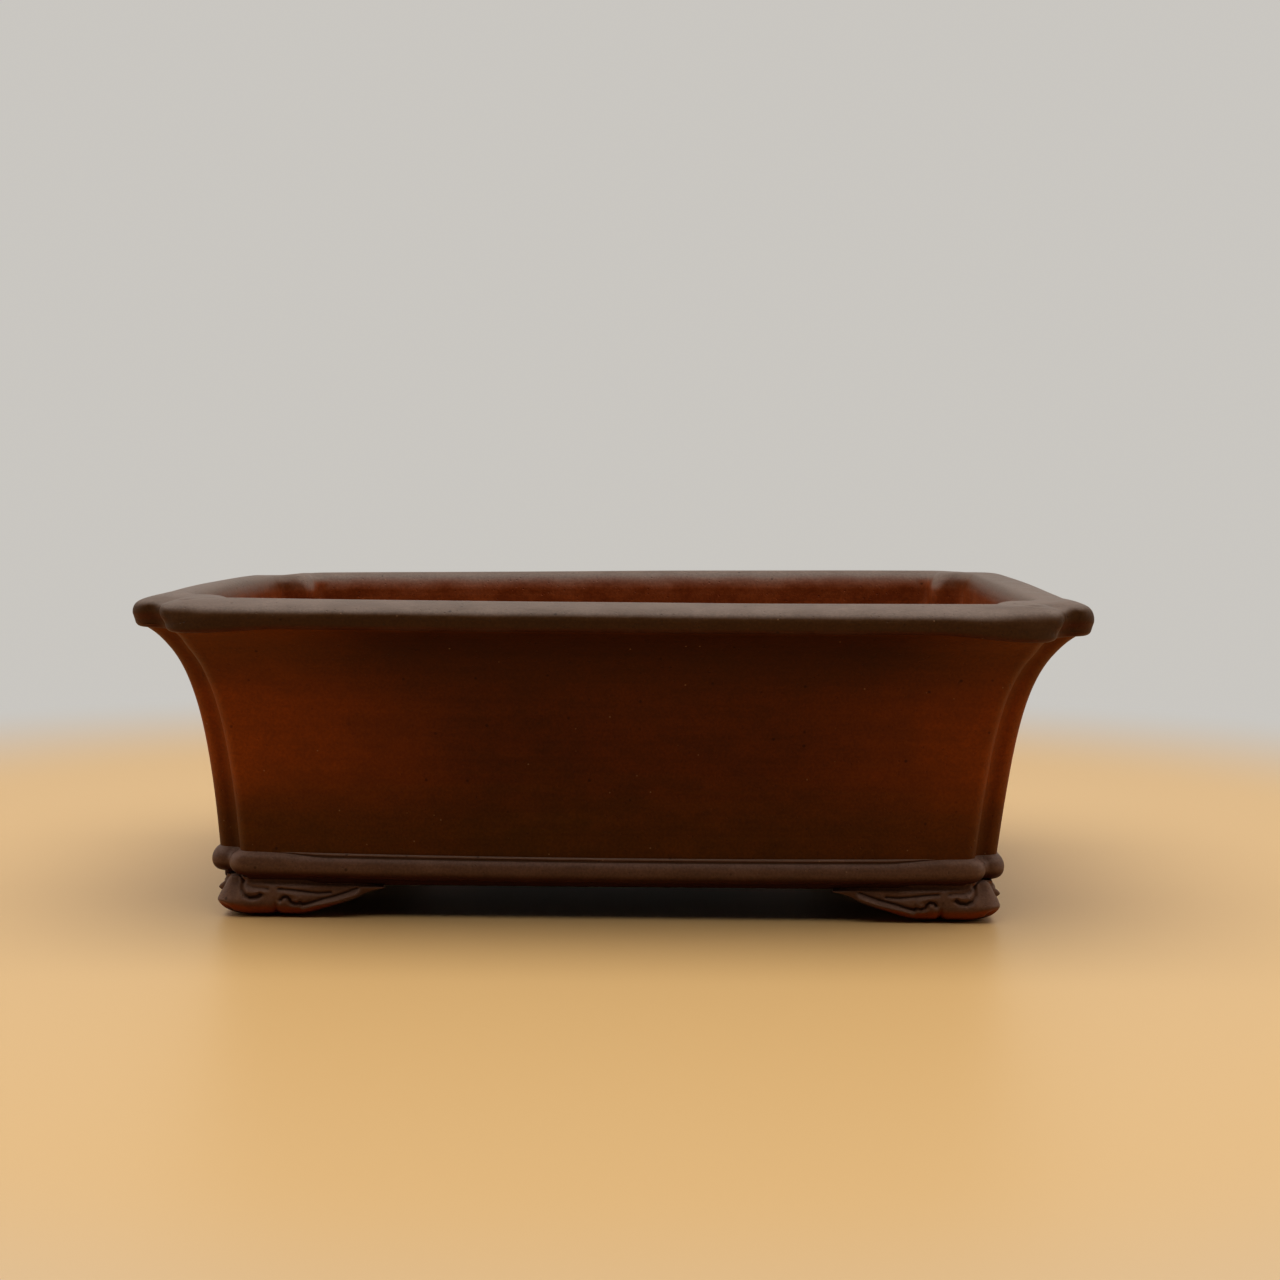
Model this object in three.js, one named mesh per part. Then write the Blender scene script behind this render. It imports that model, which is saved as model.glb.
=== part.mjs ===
// Bonsai pot in unglazed brown stoneware, slab built. A rectangular tray with indented corners:
// floor slab, four wall slabs and four corner posts that flare out under a wide lip, four lip
// strips mitred in the indents, four half-round belt strips over the joint of wall and floor,
// and four L-shaped cloud feet. Millimetres, +Z up, origin on the table under the pot's middle,
// +X along the long side, -Y the front. A piece's section is given as inset (how far in from
// the rectangle that bounds the lip) and height.
import * as THREE from "three";

const LENGTH = 390;
const DEPTH = 266;
const HEIGHT = 134.8;

const FOOT_HEIGHT = 13.5;
const FLOOR_THICKNESS = 9;
const FLOOR_TOP = FOOT_HEIGHT + FLOOR_THICKNESS;
const WALL_THICKNESS = 8;
const WALL_LEVELS = 10;

// The lip: a strip with a drooping top, highest near its inner edge and at the corner lobes.
const LIP_WIDTH = 25.6;
const LIP_NOTCH = 16.2;
const LIP_LOBE_RADIUS = 4;
const LIP_NOOK_RADIUS = 2;
const LIP_NOOK_GROWTH = 0.1;
const LOBE_LIFT = 1.6;
const LOBE_LIFT_REACH = 36;
const LIP_CREST = HEIGHT - LOBE_LIFT;
const LIP_THICKNESS = 11.4;
const WALL_TOP = LIP_CREST - LIP_THICKNESS;

// The indented corner at the foot of the walls, which belt and floor slab run parallel to.
const WALL_FOOT_INSET = 32.5;
const BASE_NOTCH = 10.5;
const BASE_LOBE_RADIUS = 3;
const BASE_NOOK_RADIUS = 2;
const POST_INNER_RADIUS = 5;
const POST_INNER_NOOK = 4;
const POST_INSET = 58;

const BELT_CENTRE_HEIGHT = 21.9;
const BELT_HALF_HEIGHT = 5.5;
const BELT_INSET = 29.7;
const BELT_SWELL = 3.8;
const FLOOR_INSET = 34.5;

const FOOT_INSET = 31.5;
const FOOT_DEPTH = 16;
const FOOT_CORNER_RADIUS = 7;
const FOOT_WING_LONG = 70;
const FOOT_WING_SHORT = 58;
const WING_ARCH_START = 0.52;
const WING_TIP_HEIGHT = 1.2;
const WING_TIP_TAPER = 0.35;

const DRAIN_DIAMETER = 24;
const DRAIN_SPACING = 150;
const WIRE_HOLE_DIAMETER = 5;
const WIRE_HOLE_X = 112;
const WIRE_HOLE_Y = 45;

const JOINT_GAP = 0.3;
const ARC_STEPS = 4;
const CURVE_STEPS = 4;

const CLAY = { body: 0x4b2a1d, lip: 0x5a4038, belt: 0x50352b, foot: 0x4c352b, floor: 0x5a3020 };

function clay(color) {
  return new THREE.MeshStandardMaterial({ color, roughness: 0.72, metalness: 0 });
}

function arc(x, y, radius, from, to) {
  return new THREE.EllipseCurve(x, y, radius, radius, from, to, to < from).getPoints(ARC_STEPS);
}

// The +X +Y corner of an indented rectangle, anticlockwise: round lobe, round nook, round lobe.
function indentedCorner({ x, y, notch, lobe, nook }) {
  return [
    ...arc(x - lobe, y - notch - lobe, lobe, 0, Math.PI / 2),
    ...arc(x - notch + nook, y - notch + nook, nook, -Math.PI / 2, -Math.PI),
    ...arc(x - notch - lobe, y - lobe, lobe, 0, Math.PI / 2),
  ];
}

// Corner outlines at an inset from the lip's bounding rectangle, whose corner is at (x, y).
function lipOutline(inset, x, y) {
  const nook = LIP_NOOK_RADIUS + LIP_NOOK_GROWTH * inset;
  return { x: x - inset, y: y - inset, notch: LIP_NOTCH, lobe: LIP_LOBE_RADIUS, nook };
}

function baseOutline(inset, x, y) {
  const outward = WALL_FOOT_INSET - inset;
  return {
    x: x - inset,
    y: y - inset,
    notch: BASE_NOTCH,
    lobe: Math.max(BASE_LOBE_RADIUS + outward, 0.5),
    nook: Math.max(BASE_NOOK_RADIUS - outward, 0.5),
  };
}

// Joins a row of matching closed loops into one solid, with a cap on the first and the last.
// section is the loops' shape in a plane, which the caps are triangulated in.
function loft(loops, section) {
  const count = loops[0].length;
  const last = (loops.length - 1) * count;
  const index = [];
  for (let row = 0; row < last; row += count) {
    for (let i = 0; i < count; i++) {
      const a = row + i;
      const b = row + ((i + 1) % count);
      index.push(a, b, b + count, a, b + count, a + count);
    }
  }
  for (const [a, b, c] of THREE.ShapeUtils.triangulateShape(section, [])) {
    index.push(a, c, b, last + a, last + b, last + c);
  }
  const points = loops.flat();
  if (signedVolume(points, index) < 0) index.reverse();
  const geometry = new THREE.BufferGeometry().setFromPoints(points);
  geometry.setIndex(index);
  geometry.computeVertexNormals();
  return geometry;
}

function signedVolume(points, index) {
  let volume = 0;
  const cross = new THREE.Vector3();
  for (let i = 0; i < index.length; i += 3) {
    const [a, b, c] = [points[index[i]], points[index[i + 1]], points[index[i + 2]]];
    volume += cross.crossVectors(b, c).dot(a) / 6;
  }
  return volume;
}

// A closed outline as points, anticlockwise and without the repeated last point.
function outlinePoints(shape) {
  const points = shape.getPoints(CURVE_STEPS);
  if (points[0].distanceTo(points.at(-1)) < 1e-6) points.pop();
  return THREE.ShapeUtils.isClockWise(points) ? points.reverse() : points;
}

// The wall's outer face, from upright behind the belt, battered up and swept out to the lip.
const flare = new THREE.CubicBezierCurve(
  new THREE.Vector2(WALL_FOOT_INSET, FLOOR_TOP + 5),
  new THREE.Vector2(27, 86),
  new THREE.Vector2(23.4, 110),
  new THREE.Vector2(3.6, WALL_TOP),
);

// Outer and inner inset of the wall at each level, floor to lip. The indent widens inside, from
// the walls' own at the floor to the lip's.
const outerFace = [new THREE.Vector2(WALL_FOOT_INSET, FLOOR_TOP), ...flare.getPoints(WALL_LEVELS)];
const wallLevels = outerFace.map(({ x: outer, y: z }) => {
  const inner = Math.max(outer + WALL_THICKNESS, LIP_WIDTH);
  const rise = (z - FLOOR_TOP) / (WALL_TOP - FLOOR_TOP);
  return { z, outer, inner, innerNotch: THREE.MathUtils.lerp(BASE_NOTCH, LIP_NOTCH, rise) };
});

// A wall slab on the +Y side, straight in plan, its upright ends against the corner posts.
function wallSlab(halfLength, halfDepth) {
  const end = halfLength - POST_INSET - JOINT_GAP;
  const loops = wallLevels.map((level) => {
    const face = halfDepth - level.outer;
    const back = halfDepth - level.inner;
    const corners = [[-end, back], [end, back], [end, face], [-end, face]];
    return corners.map(([x, y]) => new THREE.Vector3(x, y, level.z));
  });
  return loft(loops, loops[0]);
}

// A corner post, indented inside and out, for a pot whose bounding corner is at the origin.
function cornerPost() {
  const end = -POST_INSET;
  const loops = wallLevels.map(({ z, outer, inner, innerNotch }) => {
    const outside = indentedCorner({
      x: -outer,
      y: -outer,
      notch: BASE_NOTCH,
      lobe: BASE_LOBE_RADIUS,
      nook: BASE_NOOK_RADIUS,
    });
    const inside = indentedCorner({
      x: -inner,
      y: -inner,
      notch: innerNotch,
      lobe: POST_INNER_RADIUS,
      nook: POST_INNER_NOOK,
    });
    const ends = [new THREE.Vector2(-outer, end), new THREE.Vector2(end, -outer)];
    const innerEnds = [new THREE.Vector2(end, -inner), new THREE.Vector2(-inner, end)];
    const loop = [ends[0], ...outside, ends[1], innerEnds[0], ...inside.reverse(), innerEnds[1]];
    return loop.map((p) => new THREE.Vector3(p.x, p.y, z));
  });
  return loft(loops, loops[0]);
}

// The half of a +Y side strip from the middle of the corner's nook, where it is mitred, to the
// end of its lobe. outlineAt gives the corner outline at an inset.
function mitredEnd(section, outlineAt, halfLength, halfDepth) {
  const paths = section.map((p) => indentedCorner(outlineAt(p.x, halfLength, halfDepth)));
  const mitre = ARC_STEPS + 1 + ARC_STEPS / 2;
  const stations = [];
  for (let k = mitre; k < paths[0].length; k++) {
    const gap = k === mitre ? JOINT_GAP / Math.SQRT2 : 0;
    stations.push(section.map((p, i) => new THREE.Vector3(paths[i][k].x - gap, paths[i][k].y, p.y)));
  }
  return stations;
}

// A strip from half of its stations: the other half is its mirror image in X.
function mirroredStrip(stations, section) {
  const mirrored = stations.map((loop) => loop.map((v) => new THREE.Vector3(-v.x, v.y, v.z)));
  return loft([...stations, ...mirrored.reverse()], section);
}

// The lip's lobes rise above its straight run. The rise grows with height over the strip, so
// that the seat on the wall stays flat.
function lipStrip(halfLength, halfDepth) {
  const section = lipSection();
  const stations = mitredEnd(section, lipOutline, halfLength, halfDepth);
  for (const v of stations.flat()) {
    v.z += (LOBE_LIFT * (v.z - WALL_TOP)) / (LIP_CREST - WALL_TOP);
  }
  const x = halfLength - LIP_NOTCH - LOBE_LIFT_REACH;
  stations.push(section.map((p) => new THREE.Vector3(x, halfDepth - p.x, p.y)));
  return mirroredStrip(stations, section);
}

function beltStrip(halfLength, halfDepth) {
  const section = beltSection();
  return mirroredStrip(mitredEnd(section, baseOutline, halfLength, halfDepth), section);
}

// Lip section: flat seat on the wall, slightly undercut edge, broad roll up to a crest inside.
function lipSection() {
  const shape = new THREE.Shape();
  shape.moveTo(LIP_WIDTH, WALL_TOP);
  shape.lineTo(3.2, WALL_TOP);
  shape.quadraticCurveTo(1.4, WALL_TOP, 0.9, WALL_TOP + 1.8);
  shape.lineTo(0, LIP_CREST - 6);
  shape.bezierCurveTo(0.3, LIP_CREST - 2.4, 8, LIP_CREST - 1.7, 20.5, LIP_CREST);
  shape.quadraticCurveTo(25.2, LIP_CREST - 0.2, LIP_WIDTH, LIP_CREST - 4.5);
  shape.closePath();
  return outlinePoints(shape);
}

// Belt section: half an ellipse outside, stepped behind to lie on the wall and the floor slab.
function beltSection() {
  const bottom = BELT_CENTRE_HEIGHT - BELT_HALF_HEIGHT;
  const step = FLOOR_TOP - JOINT_GAP;
  const wallSide = WALL_FOOT_INSET - JOINT_GAP;
  const floorSide = FLOOR_INSET - JOINT_GAP;
  const centreInset = BELT_INSET + BELT_SWELL;
  const wallAngle = Math.PI - Math.acos((centreInset - wallSide) / BELT_SWELL);
  const shape = new THREE.Shape();
  shape.moveTo(floorSide, bottom);
  shape.lineTo(floorSide, step);
  shape.lineTo(wallSide, step);
  shape.absellipse(
    centreInset,
    BELT_CENTRE_HEIGHT,
    BELT_SWELL,
    BELT_HALF_HEIGHT,
    wallAngle,
    1.5 * Math.PI,
  );
  shape.closePath();
  return outlinePoints(shape);
}

// Foot section: flat sole, rounded belly that is widest at half height, waisted top.
function footSection() {
  const shape = new THREE.Shape();
  shape.moveTo(FOOT_DEPTH, 0);
  shape.lineTo(7, 0);
  shape.quadraticCurveTo(0.8, 0.6, 0, 6.6);
  shape.quadraticCurveTo(0.2, 11, 1.5, FOOT_HEIGHT);
  shape.lineTo(FOOT_DEPTH, FOOT_HEIGHT);
  shape.closePath();
  return outlinePoints(shape);
}

// An L-shaped foot whose outer corner is at the origin, one wing along -X and one along -Y.
// The sole is flat near the corner, then each wing arches up to a thin tip under the floor.
function cloudFoot(wingX, wingY) {
  const section = footSection();
  const wingStations = [1, 0.88, 0.76, 0.64, WING_ARCH_START, 0.3];
  const wing = (length, place) =>
    wingStations.map((along) => {
      const arch = Math.max(along - WING_ARCH_START, 0) / (1 - WING_ARCH_START);
      const bottom = arch * (FOOT_HEIGHT - WING_TIP_HEIGHT);
      const squash = 1 - bottom / FOOT_HEIGHT;
      const taper = 1 - WING_TIP_TAPER * arch;
      return section.map((p) => place(along * length, p.x * taper, bottom + p.y * squash));
    });
  const corner = [];
  for (let k = 0; k <= ARC_STEPS; k++) {
    const angle = (k / ARC_STEPS) * (Math.PI / 2);
    corner.push(
      section.map((p) => {
        const radius = Math.max(FOOT_CORNER_RADIUS - p.x, 1);
        const centre = -p.x - radius;
        const x = centre + radius * Math.cos(angle);
        return new THREE.Vector3(x, centre + radius * Math.sin(angle), p.y);
      }),
    );
  }
  const alongY = wing(wingY, (s, d, z) => new THREE.Vector3(-d, -s, z));
  const alongX = wing(wingX, (s, d, z) => new THREE.Vector3(-s, -d, z));
  return loft([...alongY, ...corner, ...alongX.reverse()], section);
}

// The floor slab, indented like the walls, with two drain holes and four wiring holes.
function floorSlab() {
  const outline = [];
  for (const [sx, sy] of [[1, 1], [-1, 1], [-1, -1], [1, -1]]) {
    const corner = indentedCorner(baseOutline(FLOOR_INSET, LENGTH / 2, DEPTH / 2));
    if (sx * sy < 0) corner.reverse();
    outline.push(...corner.map((p) => new THREE.Vector2(sx * p.x, sy * p.y)));
  }
  const shape = new THREE.Shape(outline);
  const holes = [-1, 1].map((side) => [(side * DRAIN_SPACING) / 2, 0, DRAIN_DIAMETER]);
  for (const sx of [-1, 1]) {
    for (const sy of [-1, 1]) holes.push([sx * WIRE_HOLE_X, sy * WIRE_HOLE_Y, WIRE_HOLE_DIAMETER]);
  }
  for (const [x, y, diameter] of holes) {
    shape.holes.push(new THREE.Path().absarc(x, y, diameter / 2, 0, 2 * Math.PI));
  }
  const slab = { depth: FLOOR_THICKNESS, bevelEnabled: false, curveSegments: 3 * CURVE_STEPS };
  return new THREE.ExtrudeGeometry(shape, slab);
}

const pot = new THREE.Group();

function add(name, geometry, color, place = {}) {
  const mesh = new THREE.Mesh(geometry, clay(color));
  mesh.name = name;
  mesh.position.set(place.x ?? 0, place.y ?? 0, place.z ?? 0);
  mesh.rotation.z = place.turn ?? 0;
  pot.add(mesh);
}

add("floor_slab", floorSlab(), CLAY.floor, { z: FOOT_HEIGHT });

// Strips and slabs are made for the +Y side and turned to their own.
const SIDES = [
  { side: "back", turn: 0, halfLength: LENGTH / 2, halfDepth: DEPTH / 2 },
  { side: "front", turn: Math.PI, halfLength: LENGTH / 2, halfDepth: DEPTH / 2 },
  { side: "right", turn: -Math.PI / 2, halfLength: DEPTH / 2, halfDepth: LENGTH / 2 },
  { side: "left", turn: Math.PI / 2, halfLength: DEPTH / 2, halfDepth: LENGTH / 2 },
];
for (const { side, turn, halfLength, halfDepth } of SIDES) {
  add(`${side}_wall`, wallSlab(halfLength, halfDepth), CLAY.body, { turn });
  add(`rim_${side}`, lipStrip(halfLength, halfDepth), CLAY.lip, { turn });
  add(`belt_${side}`, beltStrip(halfLength, halfDepth), CLAY.belt, { turn });
}

// Posts and feet are made for the +X +Y corner and turned to their own.
const CORNERS = [
  { corner: "back_right", sx: 1, sy: 1, turn: 0 },
  { corner: "back_left", sx: -1, sy: 1, turn: Math.PI / 2 },
  { corner: "front_left", sx: -1, sy: -1, turn: Math.PI },
  { corner: "front_right", sx: 1, sy: -1, turn: -Math.PI / 2 },
];
for (const { corner, sx, sy, turn } of CORNERS) {
  const quarterTurned = sx * sy < 0;
  const foot = quarterTurned
    ? cloudFoot(FOOT_WING_SHORT, FOOT_WING_LONG)
    : cloudFoot(FOOT_WING_LONG, FOOT_WING_SHORT);
  const postPlace = { x: (sx * LENGTH) / 2, y: (sy * DEPTH) / 2, turn };
  const footPlace = { x: sx * (LENGTH / 2 - FOOT_INSET), y: sy * (DEPTH / 2 - FOOT_INSET), turn };
  add(`corner_post_${corner}`, cornerPost(), CLAY.body, postPlace);
  add(`foot_${corner}`, foot, CLAY.foot, footPlace);
}

export default pot;
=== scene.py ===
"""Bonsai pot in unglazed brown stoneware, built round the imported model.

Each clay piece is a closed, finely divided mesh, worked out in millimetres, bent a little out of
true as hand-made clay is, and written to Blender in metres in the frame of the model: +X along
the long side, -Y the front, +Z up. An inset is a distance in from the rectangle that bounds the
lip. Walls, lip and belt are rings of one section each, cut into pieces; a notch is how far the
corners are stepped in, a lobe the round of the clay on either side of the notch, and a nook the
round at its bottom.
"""
import math

import bmesh
import bpy
import numpy as np
from mathutils import Matrix, Vector, geometry


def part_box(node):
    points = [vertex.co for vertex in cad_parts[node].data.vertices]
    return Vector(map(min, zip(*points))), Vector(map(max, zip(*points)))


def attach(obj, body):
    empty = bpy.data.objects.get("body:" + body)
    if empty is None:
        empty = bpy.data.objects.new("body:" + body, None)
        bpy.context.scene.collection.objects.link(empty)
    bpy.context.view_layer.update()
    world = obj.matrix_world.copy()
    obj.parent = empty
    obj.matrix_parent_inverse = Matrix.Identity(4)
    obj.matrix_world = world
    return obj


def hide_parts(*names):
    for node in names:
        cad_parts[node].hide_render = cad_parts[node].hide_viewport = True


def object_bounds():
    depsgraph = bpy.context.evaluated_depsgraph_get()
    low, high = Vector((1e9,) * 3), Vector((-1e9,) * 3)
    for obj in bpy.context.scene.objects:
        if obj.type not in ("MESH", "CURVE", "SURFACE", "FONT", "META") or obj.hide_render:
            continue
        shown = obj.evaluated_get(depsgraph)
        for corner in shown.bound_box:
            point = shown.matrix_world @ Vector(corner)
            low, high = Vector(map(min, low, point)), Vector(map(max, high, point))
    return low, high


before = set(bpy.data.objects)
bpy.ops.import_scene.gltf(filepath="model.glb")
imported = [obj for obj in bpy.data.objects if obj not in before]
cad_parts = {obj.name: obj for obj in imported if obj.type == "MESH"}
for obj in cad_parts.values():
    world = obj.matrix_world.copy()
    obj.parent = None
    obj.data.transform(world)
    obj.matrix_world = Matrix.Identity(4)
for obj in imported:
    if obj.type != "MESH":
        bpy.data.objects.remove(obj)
CAD_LOW, CAD_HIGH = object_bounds()

MM = 1000.0
PI = math.pi

# Sizes that the frame holds.
HALF_LENGTH = CAD_HIGH.x * MM
HALF_DEPTH = CAD_HIGH.y * MM
HEIGHT = CAD_HIGH.z * MM
FLOOR_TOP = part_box("floor_slab")[1].z * MM
FLOOR_INSET = HALF_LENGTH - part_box("floor_slab")[1].x * MM
WALL_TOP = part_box("front_wall")[1].z * MM
BELT_INSET = HALF_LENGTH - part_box("belt_right")[1].x * MM
BELT_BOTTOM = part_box("belt_right")[0].z * MM
BELT_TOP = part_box("belt_right")[1].z * MM
FOOT_INSET = HALF_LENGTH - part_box("foot_back_right")[1].x * MM
FOOT_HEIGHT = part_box("foot_back_right")[1].z * MM
POST_INSET = HALF_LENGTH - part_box("corner_post_back_right")[0].x * MM
WING_LONG = HALF_LENGTH - FOOT_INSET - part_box("foot_back_right")[0].x * MM
WING_SHORT = HALF_DEPTH - FOOT_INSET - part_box("foot_back_right")[0].y * MM

# Sizes of the clay work.
LIP_WIDTH = 25.6
LIP_NOTCH = 16.2
LIP_CREST = HEIGHT - 1.8
WALL_FOOT_INSET = 32.5
WALL_THICKNESS = 8.0
BASE_NOTCH = 10.5
LOBE = 5.0
NOOK = 4.4
FOOT_DEPTH = 16.0
FOOT_CORNER = 7.0
FOOT_COVE = 16.6
DRAIN_RADIUS = 12.0
DRAIN_X = 75.0
WIRE_RADIUS = 2.5
WIRE_PLACE = (112.0, 45.0)

# A foot set a little along from its place, and the band under the top that heights are eased into.
FOOT_SHIFT = {"front_left": 1.6}
CEILING = 0.8

SHARP_ANGLE = math.radians(40)

# Stations along one quadrant of a ring of clay: side, corner post, lobe, notch face, nook.
SIDE_STEPS = 44
POST_STEPS = 22
LOBE_STEPS = 12
FACE_STEPS = 6
NOOK_STEPS = 12
QUARTER = 2 * (SIDE_STEPS + POST_STEPS + LOBE_STEPS + FACE_STEPS) + NOOK_STEPS
RING = 4 * QUARTER

SIDES = ("right", "back", "left", "front")
CORNERS = ("back_right", "back_left", "front_left", "front_right")
QUADRANTS = ((1, 1), (-1, 1), (-1, -1), (1, -1))


# ---------------------------------------------------------------- shape helpers

def bezier(*control, steps):
    """Points along a Bezier curve through its first and last control point."""
    t = np.linspace(0, 1, steps + 1)[:, None]
    rows = [np.tile(np.array(c, float), (steps + 1, 1)) for c in control]
    while len(rows) > 1:
        rows = [a + (b - a) * t for a, b in zip(rows, rows[1:])]
    return rows[0]


def outline(*runs):
    """One closed section from runs of points that each start where the last one ended."""
    points = np.concatenate([runs[0]] + [run[1:] for run in runs[1:]])
    return points[:-1] if np.allclose(points[0], points[-1]) else points


def smooth(low, high, value):
    """0 on low's side, 1 on high's side and a smooth change between. Either may be the larger."""
    t = np.clip((value - low) / (high - low), 0, 1)
    return t * t * (3 - 2 * t)


def hump(value, middle, width):
    """A bell that is 1 at the middle and 1/e a width away."""
    return np.exp(-(((value - middle) / width) ** 2))


def ripple(points, wavelength, seed, waves=7):
    """Smooth pseudo-random field, mostly within -1 to 1, over points in millimetres."""
    rng = np.random.default_rng(seed)
    total = np.zeros(points.shape[:-1])
    for _ in range(waves):
        direction = rng.normal(size=3)
        direction *= 2 * PI / (wavelength * rng.uniform(0.7, 1.5)) / np.linalg.norm(direction)
        total += np.sin(points @ direction + rng.uniform(0, 2 * PI))
    return total / math.sqrt(waves) / 1.4


def curvature(loops):
    """Smoothed mean curvature in 1/mm at each point of a grid of loops. Where the quads of
    clay_mesh look outward it is above 0 on a bulge, and where they look inward, below 0."""
    across = np.roll(loops, -1, 1) - np.roll(loops, 1, 1)
    padded = np.concatenate([loops[:1], loops, loops[-1:]])
    along = padded[2:] - padded[:-2]
    normal = np.cross(along, across)
    normal /= np.linalg.norm(normal, axis=-1, keepdims=True) + 1e-9
    total = np.zeros(loops.shape[:2])
    for a, b in ((np.roll(loops, -1, 1), np.roll(loops, 1, 1)), (padded[2:], padded[:-2])):
        bend = (a + b - 2 * loops) * normal
        length = ((a - b) ** 2).sum(-1) / 4 + 0.02
        total += bend.sum(-1) / length
    for _ in range(3):
        total = (total + np.roll(total, 1, 1) + np.roll(total, -1, 1)) / 3
        total[1:-1] = (total[:-2] + total[1:-1] + total[2:]) / 3
    return total / 2


def clay_mesh(name, loops, inside=0.0):
    """A closed piece from rows of matching closed loops, in millimetres, with a cap on each end."""
    rows, count = loops.shape[:2]
    start = (np.arange(rows - 1) * count)[:, None]
    here = np.arange(count)[None, :]
    ahead = (here + 1) % count
    quads = np.stack([start + here, start + ahead, start + ahead + count, start + here + count], -1)
    quads = quads.reshape(-1, 4)
    points = loops.reshape(-1, 3)
    bulge = curvature(loops)
    outward = flux(points, quads, loops) > 0
    faces = quads.tolist()
    faces.append(list(range(count - 1, -1, -1)))
    faces.append(list(range((rows - 1) * count, rows * count)))
    if not outward:
        faces = [face[::-1] for face in faces]
    mesh = bpy.data.meshes.new(name)
    mesh.from_pydata((points / MM).tolist(), [], faces)
    add_field(mesh, "relief", bulge if outward else -bulge)
    add_field(mesh, "inside", np.zeros(loops.shape[:2]) + inside)
    return finished(name, mesh)


def finished(name, mesh):
    """The mesh as an object in the scene, smooth but for edges sharper than SHARP_ANGLE."""
    mesh.shade_smooth()
    mesh.set_sharp_from_angle(angle=SHARP_ANGLE)
    mesh.validate()
    piece = bpy.data.objects.new(name, mesh)
    bpy.context.scene.collection.objects.link(piece)
    return piece


def add_field(mesh, name, values):
    """Stores one number for each point, which the clay's material reads."""
    field = mesh.attributes.new(name, "FLOAT", "POINT")
    field.data.foreach_set("value", np.asarray(values, np.float32).ravel())


def flux(points, quads, loops):
    """A sum over the faces that is above 0 where they look outward."""
    corner = points[quads]
    cross = np.cross(corner[:, 2] - corner[:, 0], corner[:, 3] - corner[:, 1])
    total = (cross * corner.mean(1)).sum()
    for loop, sign in ((loops[0], -1), (loops[-1], 1)):
        middle = loop.mean(0)
        area = np.cross(loop - middle, np.roll(loop, -1, 0) - middle).sum(0)
        total += sign * float(area @ middle)
    return total


# ---------------------------------------------------------------- rings of clay

def between(a, b, steps, first=False):
    """Stations on a straight line from a to b, without a itself unless first."""
    t = np.linspace(0, 1, steps + 1)[0 if first else 1:, None, None]
    return a + (b - a) * t


def arc_rows(centre, radius, start, end, steps):
    """Stations on an arc about centre, without its start."""
    angle = np.linspace(start, end, steps + 1)[1:, None]
    around = np.stack([np.cos(angle), np.sin(angle)], -1)
    return centre + radius[None, :, None] * around


def quadrant(inset, notch, lobe, nook):
    """Stations from the middle of the +X side to the middle of the +Y side, for each section
    point: shape (stations, section points, 2)."""
    x, y = HALF_LENGTH - inset, HALF_DEPTH - inset
    at = lambda px, py: np.stack([px + 0 * inset, py + 0 * inset], -1)
    split_x, split_y = HALF_LENGTH - POST_INSET, HALF_DEPTH - POST_INSET
    return np.concatenate([
        between(at(x, 0), at(x, split_y), SIDE_STEPS, first=True),
        between(at(x, split_y), at(x, y - notch - lobe), POST_STEPS),
        arc_rows(at(x - lobe, y - notch - lobe), lobe, 0, PI / 2, LOBE_STEPS),
        between(at(x - lobe, y - notch), at(x - notch + nook, y - notch), FACE_STEPS),
        arc_rows(at(x - notch + nook, y - notch + nook), nook, -PI / 2, -PI, NOOK_STEPS),
        between(at(x - notch, y - notch + nook), at(x - notch, y - lobe), FACE_STEPS),
        arc_rows(at(x - notch - lobe, y - lobe), lobe, 0, PI / 2, LOBE_STEPS),
        between(at(x - notch - lobe, y), at(split_x, y), POST_STEPS),
        between(at(split_x, y), at(0, y), SIDE_STEPS),
    ])


def ring(section, notch, lobe, nook):
    """The whole ring, anticlockwise from the middle of the +X side: (RING, section points, 3)."""
    inset, z = section[:, 0], section[:, 1]
    full = lambda v: v + 0 * inset
    quarter = quadrant(inset, full(notch), full(lobe), full(nook))
    turned = []
    for sx, sy in QUADRANTS:
        rows = quarter * np.array([sx, sy])
        turned.append((rows if sx * sy > 0 else rows[::-1])[:-1])
    plan = np.concatenate(turned)
    return np.concatenate([plan, np.broadcast_to(z[None, :, None], plan.shape[:2] + (1,))], -1)


def part_of(rows, first, last):
    """Stations first to last of a ring, which may run past its start."""
    return rows[np.arange(first, last + 1) % RING]


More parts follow.
